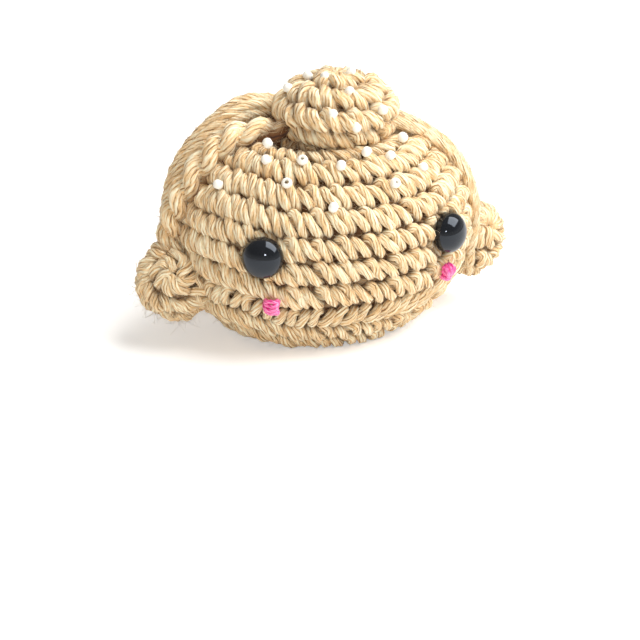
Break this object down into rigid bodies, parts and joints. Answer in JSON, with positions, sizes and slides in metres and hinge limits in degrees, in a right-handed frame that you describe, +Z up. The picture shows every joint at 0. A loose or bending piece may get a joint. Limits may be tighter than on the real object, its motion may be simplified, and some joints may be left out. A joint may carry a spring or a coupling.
{
  "type": "amigurumi bread",
  "caption": "Small crocheted, stuffed sweet-bread bun with a top knob, side balls and strips, safety eyes, pink floss cheeks and seed-bead sugar; a soft toy that stands on its flat base.",
  "frame": {"origin": "middle of the flat base, on the surface that the toy stands on", "axes": "+Z up through the knob, -Y towards the face, +X to the viewer's right when the face is seen from the front"},
  "size_m": [0.0779, 0.0456, 0.0541],
  "materials": {
    "tan_yarn": "plied acrylic yarn, crocheted in rounds",
    "fibre_filling": "loose polyester fibre",
    "black_plastic": "polished black moulding",
    "washer_plastic": "natural moulded plastic",
    "pink_floss": "shiny stranded floss",
    "white_glass": "opaque white glass seed beads"
  },
  "bodies": {
    "bun": {"dome_cover": "tan_yarn", "base_cover": "tan_yarn", "rim_seam_yarn": "tan_yarn", "body_stuffing": "fibre_filling", "top_knob_cover": "tan_yarn", "top_knob_stuffing": "fibre_filling", "top_knob_sewing_yarn": "tan_yarn", "left_ball_cover": "tan_yarn", "left_ball_stuffing": "fibre_filling", "left_ball_sewing_yarn": "tan_yarn", "left_strip": "tan_yarn", "left_cheek_knot": "pink_floss", "right_ball_cover": "tan_yarn", "right_ball_stuffing": "fibre_filling", "right_ball_sewing_yarn": "tan_yarn", "right_strip": "tan_yarn", "right_cheek_knot": "pink_floss", "sugar_bead_01": "white_glass", "sugar_bead_02": "white_glass", "sugar_bead_03": "white_glass", "sugar_bead_04": "white_glass", "sugar_bead_05": "white_glass", "sugar_bead_06": "white_glass", "sugar_bead_07": "white_glass", "sugar_bead_08": "white_glass", "sugar_bead_09": "white_glass", "sugar_bead_10": "white_glass", "sugar_bead_11": "white_glass", "sugar_bead_12": "white_glass", "sugar_bead_13": "white_glass", "sugar_bead_14": "white_glass", "sugar_bead_15": "white_glass", "sugar_bead_16": "white_glass", "sugar_bead_17": "white_glass", "sugar_bead_18": "white_glass", "sugar_bead_19": "white_glass", "sugar_bead_20": "white_glass", "sugar_bead_21": "white_glass", "sugar_bead_22": "white_glass", "sugar_bead_23": "white_glass", "sugar_bead_24": "white_glass", "sugar_bead_25": "white_glass", "sugar_bead_26": "white_glass", "sugar_bead_27": "white_glass", "sugar_bead_28": "white_glass", "sugar_bead_29": "white_glass", "sugar_bead_30": "white_glass"},
    "left_eye_set": {"left_eye": "black_plastic", "left_eye_washer": "washer_plastic"},
    "right_eye_set": {"right_eye": "black_plastic", "right_eye_washer": "washer_plastic"}
  },
  "joints": [
    {"name": "left_eye_spin", "type": "hinge", "parent": "bun", "child": "left_eye_set", "pos_m": [-0.01932, -0.01746, 0.02315], "axis": [-0.5226, -0.845, 0.1135], "continuous": true},
    {"name": "right_eye_spin", "type": "hinge", "parent": "bun", "child": "right_eye_set", "pos_m": [0.01932, -0.01746, 0.02315], "axis": [0.5226, -0.845, 0.1135], "continuous": true}
  ]
}
